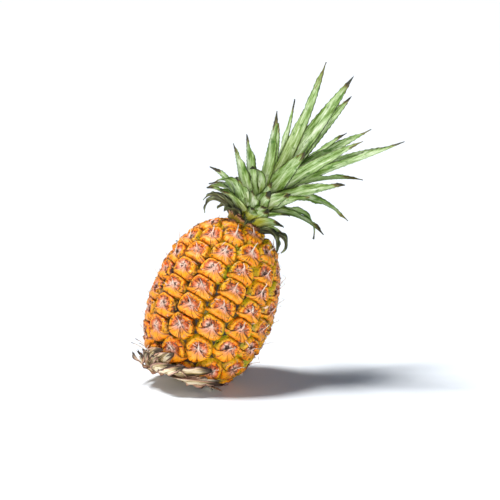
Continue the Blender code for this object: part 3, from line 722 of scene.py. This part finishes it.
def make_collar():
    """The withered lowest leaves, curled into troughs, and a ring of small dry scales round the neck."""
    rings, marks = leaf_rings(
        WITHERED_LEAVES, CROWN_TURN, CROWN_BASE, COLLAR_ROOT_OUT, stations=48, points=9, channel=0.8,
        thickness=0.8, tooth=0.25, wave=0.9)
    tubes("withered_leaves", rings, marks, withered_material(), ["crown_collar"])
    scales = []
    for k in range(24):
        own = draw.random(4)
        scales.append((k * GROWTH_TURN, -3.0, 18.5 + 4.0 * own[0], 1.5 + 3.5 * own[1], 1.5,
                       9.0 + 4.0 * own[2], 0.0, 20.0 * (own[3] - 0.5)))
    rings, marks = leaf_rings(
        scales, CROWN_TURN, CROWN_BASE, SCALE_ROOT_OUT, stations=14, points=7, channel=0.5,
        thickness=0.5, tooth=0.25, wave=1.0)
    tubes("neck_scales", rings, marks, scale_material(), ["crown_collar"])


def lift_off_table(world):
    """Lay points that would be under or near the table's surface just above it, with a soft bend."""
    over = (world[..., 2] - PAPER_REST) / PAPER_BEND
    soft = PAPER_REST + PAPER_BEND * np.logaddexp(0.0, over)
    return np.concatenate([world[..., :2], soft[..., None]], axis=-1)


def make_skirt():
    """The dry bracts round the stem, in papery layers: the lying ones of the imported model, torn sheets
    that are swept round the lowest eyes in front, and loose threads."""
    finish = paper_material()
    rows = [
        (side, -1.3 if k % 2 == 0 else -2.4, length + SKIRT_ROOT_OUT, rise, -sag, width, 0.0, twist)
        for k, (side, length, width, rise, sag, twist) in enumerate(BASAL_BRACTS)
    ]
    sheets = [(side, -1.0, out, rise, -7.0, width, 0.0, 0.0) for side, out, rise, width in SKIRT_SHEETS]
    threads = [(side, -0.8, out, rise, -2.0, 1.6, 20.0, 0.0) for side, out, rise in SKIRT_THREADS]
    for name, group, points, tooth, wave, taper, fray, sweep in (
        ("skirt_bracts", rows, 13, 0.3, 1.3, (3.2, 0.7), 2.0, 0.0),
        ("skirt_sheets", sheets, 17, 0.8, 1.9, (4.4, 0.6), 9.0, -46.0),
        ("skirt_threads", threads, 4, 0.2, 0.3, (3.2, 0.7), 0.0, 0.0),
    ):
        rings, marks = leaf_rings(
            group, FRUIT_TURN, SKIRT_BASE, SKIRT_ROOT_OUT, stations=40, points=points, channel=0.0,
            thickness=0.5, tooth=tooth, wave=wave, taper=taper, adjust=lift_off_table, fray=fray, sweep=sweep)
        tubes(name, rings, marks, finish, ["basal_bracts"])


def make_stub():
    """The cut stem: a short fibrous plug with a slightly hollow cut face."""
    turned = np.linspace(0.0, 2.0 * np.pi, 48, endpoint=False)
    radii = np.array([1.0, 1.0, 1.0, 0.99, 0.95, 0.86, 0.6, 0.3])
    drops = np.array([0.0, 0.3, 0.6, 0.9, 0.98, 1.0, 0.97, 0.95])
    fibres = 1.0 + 0.015 * np.sin(17.0 * turned)
    radius = STEM_RADIUS * radii[:, None] * fibres
    z = (BASE_CUT + STEM_SUNK - STEM_LENGTH * drops)[:, None] + 0.0 * turned
    local = np.stack([radius * np.cos(turned), radius * np.sin(turned), z], axis=-1)
    world = CENTRE + local @ FRUIT_TURN.T
    world[..., 2] = np.maximum(world[..., 2], TABLE_GAP)
    tubes("stem_cut", world[None], {}, stem_material(), ["stem_stub"])


# Materials


def lay_over(tree, under, over, value, span, cover=(0.0, 1.0), times=None, blend="MIX"):
    """Lay a colour over another. As the value runs over the span, the cover runs evenly from its first
    share to its second. It is multiplied by times where that is given."""
    mask = add(tree, "MapRange", inputs={"Value": value, 1: span[0], 2: span[1], 3: cover[0], 4: cover[1]})
    if times is not None:
        mask = add(tree, "Math", {"operation": "MULTIPLY"}, {0: mask, 1: times})
    over = colour(over) if isinstance(over, str) else over
    return add(tree, "Mix", {"data_type": "RGBA", "blend_type": blend}, {0: mask, 6: under, 7: over})


def mingled(tree, base, *terms, span=None, top=1.0):
    """The sum of a base and of patterns, each times its weight. Where a span is given, the result runs
    evenly from 0 to top as the sum runs over the span."""
    for pattern, weight in terms:
        base = add(tree, "Math", {"operation": "MULTIPLY_ADD"}, {0: pattern, 1: weight, 2: base})
    if span is None:
        return base
    return add(tree, "MapRange", inputs={"Value": base, 1: span[0], 2: span[1], 3: 0.0, 4: top})


def places_of(tree, name):
    """The vector that an attribute of the mesh holds, and its three parts."""
    vector = add(tree, "Attribute", {"attribute_name": name}, output="Vector")
    return vector, add(tree, "SeparateXYZ", inputs={0: vector}).node.outputs


def strands(tree, fineness, detail, roughness):
    """Noise drawn out along a leaf. Fineness is how often it changes in a millimetre across the leaf
    and along it, and how much it changes from leaf to leaf."""
    in_mm = add(tree, "Attribute", {"attribute_name": "leaf_mm"}, output="Vector")
    drawn_out = add(tree, "VectorMath", {"operation": "MULTIPLY"}, {0: in_mm, 1: fineness})
    return add(tree, "TexNoise", inputs={
        "Vector": drawn_out, "Scale": 1.0, "Detail": detail, "Roughness": roughness})


def close_surface(made, tint, constants, height=None, strength=0.0, depth=0.0):
    """Give the material's shader its colour, its constants and, from a height pattern, its relief of
    that depth in metres. Return the material."""
    tree = made.node_tree
    shader = tree.nodes["Principled BSDF"]
    tree.links.new(tint, shader.inputs["Base Color"])
    for name, value in constants.items():
        shader.inputs[name].default_value = value
    if height is not None:
        bump = add(tree, "Bump", inputs={"Strength": strength, "Distance": depth, "Height": height})
        tree.links.new(bump, shader.inputs["Normal"])
    return made


def rind_material():
    """Living rind, grown with a thin wax skin: a soft gloss over a wet, slightly translucent colour.

    Orange arches, with a painted highlight along their crest, lie between thin creases darkened with
    painted shade, round a pink middle with streaks that run out from the pit, which is dark with its
    dried brown and with painted shade. Golden flecks are painted highlights. It is yellow-green where
    the fruit isn't ripe.
    """
    made, tree = new_material("pineapple_rind")
    place, (_, upward, out) = places_of(tree, "eye_place")
    tone, (redness, greenness, _) = places_of(tree, "eye_tone")
    spot = add(tree, "TexCoord", output="Object")
    # Streaks that run out from the pit, about 30 round an eye
    direction = add(tree, "VectorMath", {"operation": "NORMALIZE"}, {0: place})
    own = add(tree, "VectorMath", {"operation": "MULTIPLY_ADD"}, {0: tone, 1: (9.0, 9.0, 9.0), 2: direction})
    streaks = add(tree, "TexNoise", inputs={"Vector": own, "Scale": 8.0, "Detail": 3.0, "Roughness": 0.6})
    # Mottling of 2.4 mm, coarser than the real pores so that it shows, and patches of 15 mm
    mottle = add(tree, "TexNoise", inputs={"Vector": spot, "Scale": 420.0, "Detail": 4.0, "Roughness": 0.65})
    patches = add(tree, "TexNoise", inputs={"Vector": spot, "Scale": 65.0, "Detail": 3.0, "Roughness": 0.6})
    # Bands of colour by the distance from the pit, made uneven by both
    uneven = mingled(tree, out, (patches, 0.16), (streaks, 0.24), span=(0.20, 1.20))
    # The bright stop at 0.80 is a painted highlight along the crest of the arch
    # The dark stops at 0.08 and 0.16 are the dried brown of the pit and painted shade of its sunk middle
    # The dark stops at 0.52 and 0.905 are painted shade, in the crease inside the arch and at the border with
    # the groove
    tint = add(tree, "ValToRGB", {"stops": [
        (0.08, "1A0C08"), (0.16, "7A3A28"), (0.25, "E89A7A"), (0.42, "F0843C"), (0.52, "A23A0C"),
        (0.58, "F06A02"), (0.70, "FA9002"), (0.80, "FFB014"), (0.86, "DE6606"), (0.905, "260C04")]},
        {0: uneven})
    tint = lay_over(tree, tint, "F59E7C", upward, (0.10, 0.80), times=redness, blend="MULTIPLY")
    gold = add(tree, "MapRange", inputs={"Value": patches, 1: 0.45, 2: 0.62, 3: 0.0, 4: 0.7})
    gold = add(tree, "Math", {"operation": "MULTIPLY_ADD"}, {0: greenness, 1: 0.45, 2: gold})
    tint = lay_over(tree, tint, "FBB00A", out, (0.45, 0.75), times=gold)
    # Borders that are still green
    unripe = mingled(tree, -0.62, (greenness, 0.75), (out, 0.60), (patches, 0.9), span=(0.62, 0.90), top=0.9)
    green = add(tree, "ValToRGB", {"stops": [(0.44, "D2A40A"), (0.62, "7C9A1A")]}, {0: patches})
    tint = lay_over(tree, tint, green, out, (0.70, 0.92), times=unripe)
    # Brown specks, dark streaks, pale streaks near the pit, and golden flecks that are painted highlights
    speck = add(tree, "ValToRGB", {"stops": [(0.36, "3E2414"), (0.47, "FFFFFF")]}, {0: mottle})
    tint = add(tree, "Mix", {"data_type": "RGBA", "blend_type": "MULTIPLY"}, {0: 0.95, 6: tint, 7: speck})
    dark = add(tree, "ValToRGB", {"stops": [(0.37, "48180A"), (0.47, "FFFFFF")]}, {0: streaks})
    tint = lay_over(tree, tint, dark, out, (0.80, 0.30), (0.25, 0.95), blend="MULTIPLY")
    middle = add(tree, "MapRange", inputs={"Value": out, 1: 0.66, 2: 0.40, 3: 0.0, 4: 1.0})
    tint = lay_over(tree, tint, "FBE4D8", streaks, (0.56, 0.65), (0.0, 0.90), times=middle)
    # Golden flecks on the mottling: painted highlights
    tint = lay_over(tree, tint, "FFC23C", mottle, (0.57, 0.66), (0.0, 0.65))
    relief = add(tree, "Math", {"operation": "ADD"}, {0: streaks, 1: mottle})
    return close_surface(made, tint, {
        "Roughness": 0.30, "IOR": 1.38, "Coat Weight": 0.12, "Coat Roughness": 0.18,
        "Subsurface Weight": 0.05, "Subsurface Radius": (0.003, 0.001, 0.0004), "Subsurface Scale": 1.0,
    }, relief, 0.9, 0.0011)


def groove_material():
    """Young skin in the grooves, unwaxed: matt olive, darkened to nearly black in patches by painted shade of
    the deep grooves between the eyes.
    """
    made, tree = new_material("groove_skin")
    # Patches of 17 mm, olive skin and nearly black painted shade
    patches = add(tree, "TexNoise", inputs={
        "Vector": add(tree, "TexCoord", output="Object"), "Scale": 60.0, "Detail": 4.0, "Roughness": 0.6})
    tint = add(tree, "ValToRGB", {"stops": [
        (0.38, "080401"), (0.54, "1C0C03"), (0.63, "4E440A"), (0.74, "98921A")]}, {0: patches})
    return close_surface(made, tint, {"Roughness": 0.6})


def bract_material():
    """Bract of an eye, leaf tissue drying to paper from its tip down: a silky sheen on living orange at
    the foot, peach and pink above, and a dry pale spine, with fine veins that meet at the tip, thin
    brown margins along its sides and a dark line of painted shade along its foot, at the eye's border."""
    made, tree = new_material("eye_bract_paper")
    place, (across, _, along) = places_of(tree, "bract_place")
    tone, _ = places_of(tree, "eye_tone")
    # Some 25 veins across a fan 18 mm wide, and blotches of 8 mm
    own = add(tree, "VectorMath", {"operation": "MULTIPLY_ADD"}, {0: place, 1: (1.0, 0.0, 0.10), 2: tone})
    veins = add(tree, "TexNoise", inputs={"Vector": own, "Scale": 13.0, "Detail": 3.0, "Roughness": 0.6})
    blotches = add(tree, "TexNoise", inputs={
        "Vector": add(tree, "TexCoord", output="Object"), "Scale": 120.0, "Detail": 3.0})
    dried = mingled(tree, along, (veins, 0.75), (blotches, 0.5), span=(0.50, 1.62))
    tint = add(tree, "ValToRGB", {"stops": [
        (0.0, "E06402"), (0.18, "F88C02"), (0.34, "FFA90C"), (0.48, "F89A3A"), (0.60, "F0A282"),
        (0.76, "F9CCB4"), (0.88, "FFF2E0")]}, {0: dried})
    dark = add(tree, "ValToRGB", {"stops": [(0.36, "5A2008"), (0.47, "FFFFFF")]}, {0: veins})
    tint = add(tree, "Mix", {"data_type": "RGBA", "blend_type": "MULTIPLY"}, {0: 0.9, 6: tint, 7: dark})
    # Brown along the sides up to the spine, the bract's own margins, and along the foot a dark line of
    # painted shade at the eye's border
    width = add(tree, "Math", {"operation": "ABSOLUTE"}, {0: across})
    side = add(tree, "MapRange", inputs={"Value": width, 1: 0.82, 2: 0.97, 3: 0.0, 4: 0.7})
    below = add(tree, "MapRange", inputs={"Value": along, 1: 0.60, 2: 0.74, 3: 1.0, 4: 0.0})
    foot = add(tree, "MapRange", inputs={"Value": along, 1: 0.0, 2: 0.07, 3: 0.8, 4: 0.0})
    edge = add(tree, "Math", {"operation": "MULTIPLY"}, {0: side, 1: below})
    edge = add(tree, "Math", {"operation": "MAXIMUM"}, {0: edge, 1: foot})
    tint = add(tree, "Mix", {"data_type": "RGBA"}, {0: edge, 6: tint, 7: colour("5C220A")})
    return close_surface(made, tint, {"Roughness": 0.45}, veins, 0.8, 0.0006)


def sepal_material():
    """Scales round the pit, dried to matt paper: orange and pink with brown tips."""
    made, tree = new_material("sepal_paper")
    _, (_, _, along) = places_of(tree, "bract_place")
    _, (tone, _, _) = places_of(tree, "eye_tone")
    # Blotches of 2.4 mm
    blotches = add(tree, "TexNoise", inputs={
        "Vector": add(tree, "TexCoord", output="Object"), "Scale": 420.0, "Detail": 3.0})
    dried = mingled(tree, along, (blotches, 0.5), (tone, 0.3))
    tint = add(tree, "ValToRGB", {"stops": [
        (0.25, "D9531A"), (0.50, "DE7440"), (0.78, "E39A78"), (1.0, "EDC6B0")]}, {0: dried})
    tint = lay_over(tree, tint, "4E2C20", dried, (0.98, 1.3), (0.0, 0.95))
    return close_surface(made, tint, {"Roughness": 0.6})


def dry_flower_material():
    """Shrivelled petals and threads, dead and dull: each one purple-brown, tan or straw."""
    made, tree = new_material("dry_flower")
    tone = add(tree, "Attribute", {"attribute_name": "shred_tone"}, output="Fac")
    tint = add(tree, "ValToRGB", {"stops": [
        (0.0, "1E100C"), (0.40, "6A4034"), (0.64, "B08468"), (0.84, "DEB292"), (1.0, "F0D2B6")]}, {0: tone})
    return close_surface(made, tint, {"Roughness": 0.7})


def leaf_material():
    """Crown leaf, green tissue under a whitish bloom of wax scales, which dulls its gloss. The bloom
    lies in fine lengthwise lines. Old leaves are yellow at the foot, tips turn olive, brown and black,
    all are darkened towards the foot by painted shade, and the thin margins are dark, partly their
    own colour and partly painted shade between the leaves."""
    made, tree = new_material("crown_leaf_bloom")
    _, (across, along, face) = places_of(tree, "leaf_share")
    age = add(tree, "Attribute", {"attribute_name": "leaf_age"}, output="Fac")
    # Bloom in lines 0.8 mm apart and 20 mm long, twice as wide as real ones so that they show, and in
    # patches of 3 by 22 mm. It is rubbed off along the margins and stays in the channel.
    lines = strands(tree, (1.25, 0.05, 1.0), 3.0, 0.6)
    patches = strands(tree, (0.30, 0.045, 1.0), 5.0, 0.62)
    squared = add(tree, "Math", {"operation": "MULTIPLY"}, {0: across, 1: across})
    bloom = mingled(tree, patches, (lines, 0.38), (squared, -0.16))
    tint = add(tree, "ValToRGB", {"stops": [
        (0.465, "36500E"), (0.555, "6C8A36"), (0.635, "97B36E"), (0.725, "BECF9C"), (0.845, "E4ECCE")]},
        {0: bloom})
    # The upper face has less bloom, and spots of 4 by 9 mm have lost it to handling
    tint = lay_over(tree, tint, "66883A", face, (-0.2, 0.6), (0.0, 0.22))
    handled = strands(tree, (0.24, 0.11, 1.7), 4.0, 0.6)
    tint = lay_over(tree, tint, "4A7420", handled, (0.57, 0.66), (0.0, 0.85))
    # Old leaves are yellow at the foot, and all are darkened towards the foot by painted shade, where they
    # overlap
    old = add(tree, "Math", {"operation": "POWER"}, {0: age, 1: 1.8})
    tint = lay_over(tree, tint, "C9B92C", along, (0.65, 0.20), (0.0, 0.95), times=old)
    # Painted shade at the leaf's foot, fading out halfway along
    tint = lay_over(tree, tint, "8E9668", along, (0.0, 0.50), (0.80, 0.0), blend="MULTIPLY")
    # Dead tissue spreads back from the tip, further on old leaves
    dying = mingled(tree, along, (patches, 0.7), (age, 0.16), span=(1.24, 1.46))
    brown = add(tree, "ValToRGB", {"stops": [
        (0.08, "8C9440"), (0.26, "6A5A22"), (0.48, "2E1E0C"), (0.85, "080503")]}, {0: dying})
    tint = lay_over(tree, tint, brown, dying, (0.0, 0.25), (0.0, 0.95))
    # Dark margins, partly the leaf's own edge colour and partly painted shade where leaves overlap
    width = add(tree, "Math", {"operation": "ABSOLUTE"}, {0: across})
    tint = lay_over(tree, tint, "42401A", width, (0.86, 0.98), (0.0, 0.85))
    return close_surface(made, tint, {"Roughness": 0.48, "IOR": 1.42}, lines, 0.7, 0.0006)


def scale_material():
    """Small scale at the neck, dried to matt paper: olive-yellow and tan with a pink cast and a dark
    brown edge."""
    made, tree = new_material("neck_scale_paper")
    _, (across, along, _) = places_of(tree, "leaf_share")
    # Lines 1 mm apart and 7 mm long
    lines = strands(tree, (1.0, 0.15, 1.0), 4.0, 0.65)
    dried = mingled(tree, along, (lines, 0.9), span=(0.6, 1.45))
    tint = add(tree, "ValToRGB", {"stops": [
        (0.08, "8E7A18"), (0.25, "BE8A30"), (0.42, "DDA584"), (0.56, "B27A56"), (0.72, "4A2A14")]},
        {0: dried})
    width = add(tree, "Math", {"operation": "ABSOLUTE"}, {0: across})
    tint = lay_over(tree, tint, "4A2A14", width, (0.70, 0.95), (0.0, 0.9))
    return close_surface(made, tint, {"Roughness": 0.6}, lines, 0.7, 0.0005)


def withered_material():
    """Withered leaf, shrunk on its fibres: matt, ribbed lengthwise, nearly black olive with paler
    fibres."""
    made, tree = new_material("withered_leaf")
    # Fibres 1 mm apart and 12 mm long, coarser than real ones so that they show
    fibres = strands(tree, (1.0, 0.08, 1.0), 4.0, 0.65)
    tint = add(tree, "ValToRGB", {"stops": [
        (0.36, "14120A"), (0.47, "34341C"), (0.55, "5C6238"), (0.66, "949C6C")]}, {0: fibres})
    return close_surface(made, tint, {"Roughness": 0.6}, fibres, 0.8, 0.0006)


def paper_material():
    """Bract of the skirt, dried to matt paper: cream with parallel veins and olive patches, pink
    towards its edges, which are dark brown where they tore."""
    made, tree = new_material("dry_bract_paper")
    _, (across, along, _) = places_of(tree, "leaf_share")
    # Veins 1.1 mm apart and 20 mm long, and patches of 7 by 10 mm
    veins = strands(tree, (0.9, 0.05, 1.0), 4.0, 0.6)
    patches = strands(tree, (0.14, 0.10, 1.0), 3.0, 0.6)
    mixed = add(tree, "Math", {"operation": "MULTIPLY_ADD"}, {0: veins, 1: 0.5, 2: patches})
    tint = add(tree, "ValToRGB", {"stops": [
        (0.58, "281C10"), (0.66, "7E6C40"), (0.73, "C6AA76"), (0.84, "F8EAC8")]}, {0: mixed})
    width = add(tree, "Math", {"operation": "ABSOLUTE"}, {0: across})
    tint = lay_over(tree, tint, "DCA28C", width, (0.50, 0.90), (0.0, 0.8))
    outer = add(tree, "Math", {"operation": "MAXIMUM"}, {0: width, 1: along})
    tint = lay_over(tree, tint, "2E180A", outer, (0.88, 0.96), (0.0, 0.92))
    return close_surface(made, tint, {"Roughness": 0.65}, veins, 0.7, 0.0005)


def stem_material():
    """Cut stem, woody fibres that dried and browned at the cut: matt straw colour."""
    made, tree = new_material("cut_stem_fibre")
    # Fibre bundles of 1.1 mm
    grain = add(tree, "TexNoise", inputs={
        "Vector": add(tree, "TexCoord", output="Object"), "Scale": 900.0, "Detail": 3.0})
    tint = add(tree, "ValToRGB", {"stops": [
        (0.35, "6A4E2A"), (0.52, "B89A62"), (0.70, "DCC690")]}, {0: grain})
    return close_surface(made, tint, {"Roughness": 0.8}, grain, 0.6, 0.0005)


# Camera, floor and light

PIXEL = 0.83 * MM
PHOTO_WIDTH = 500
BODY_PIXEL = (211.4, 306.7)
CAMERA_ELEVATION = 12.0
CAMERA_DISTANCE = 2.0
SENSOR = 36.0
FLOOR_REACH = 6.0
# Where each light comes from, its strength and the angle in degrees that it fills
LIGHTS = [
    ("overhead", (-0.38, 0.20, 1.0), 4.5, 15.0),
    ("front", (0.05, -1.0, 0.0), 4.6, 40.0),
]
ROOM_COLOUR = "7CB6F8"
ROOM_STRENGTH = 0.09


def make_camera():
    """A long lens at the photograph's angle, which puts the body's centre on its pixel."""
    data = bpy.data.cameras.new("camera")
    data.sensor_width = SENSOR
    data.lens = SENSOR * CAMERA_DISTANCE / (PHOTO_WIDTH * PIXEL)
    camera = put_in_scene("camera", data)
    tilt = math.radians(CAMERA_ELEVATION)
    right = (PHOTO_WIDTH / 2.0 - BODY_PIXEL[0]) * PIXEL
    above = (BODY_PIXEL[1] - PHOTO_WIDTH / 2.0) * PIXEL
    aim = CENTRE + np.array([right, 0.0, above / math.cos(tilt)])
    camera.location = aim + CAMERA_DISTANCE * np.array([0.0, -math.cos(tilt), math.sin(tilt)])
    camera.rotation_euler = (math.pi / 2.0 - tilt, 0.0, 0.0)
    bpy.context.scene.camera = camera


def make_floor():
    """A plain pale floor, painted with a satin finish that holds only a dull reflection."""
    mesh = bpy.data.meshes.new("floor")
    corners = np.array([(-1.0, -1.0, 0.0), (1.0, -1.0, 0.0), (1.0, 1.0, 0.0), (-1.0, 1.0, 0.0)])
    mesh.from_pydata((corners * FLOOR_REACH).tolist(), [], [(0, 1, 2, 3)])
    floor = put_in_scene("floor", mesh)
    made, tree = new_material("pale_floor")
    shader = tree.nodes["Principled BSDF"]
    shader.inputs["Base Color"].default_value = colour("EEF2F6")
    shader.inputs["Roughness"].default_value = 0.45
    mesh.materials.append(made)


def make_lights():
    """A soft light from overhead, left and a little behind, a wide level one from the front, which
    doesn't reach the floor, and a dim blue room."""
    for name, direction, strength, softness in LIGHTS:
        data = bpy.data.lights.new(name, "SUN")
        data.energy = strength
        data.angle = math.radians(softness)
        put_in_scene(name, data).rotation_euler = Vector(direction).to_track_quat("Z", "Y").to_euler()
    world = bpy.data.worlds.new("studio")
    world.use_nodes = True
    room = world.node_tree.nodes["Background"]
    room.inputs["Color"].default_value = colour(ROOM_COLOUR)
    room.inputs["Strength"].default_value = ROOM_STRENGTH
    bpy.context.scene.world = world
    bpy.context.scene.view_settings.view_transform = "Standard"


make_camera()
make_floor()
make_lights()
make_groove_skin()
make_eyes()
make_eye_bracts()
make_sepals()
make_dry_flowers()
make_crown()
make_collar()
make_skirt()
make_stub()
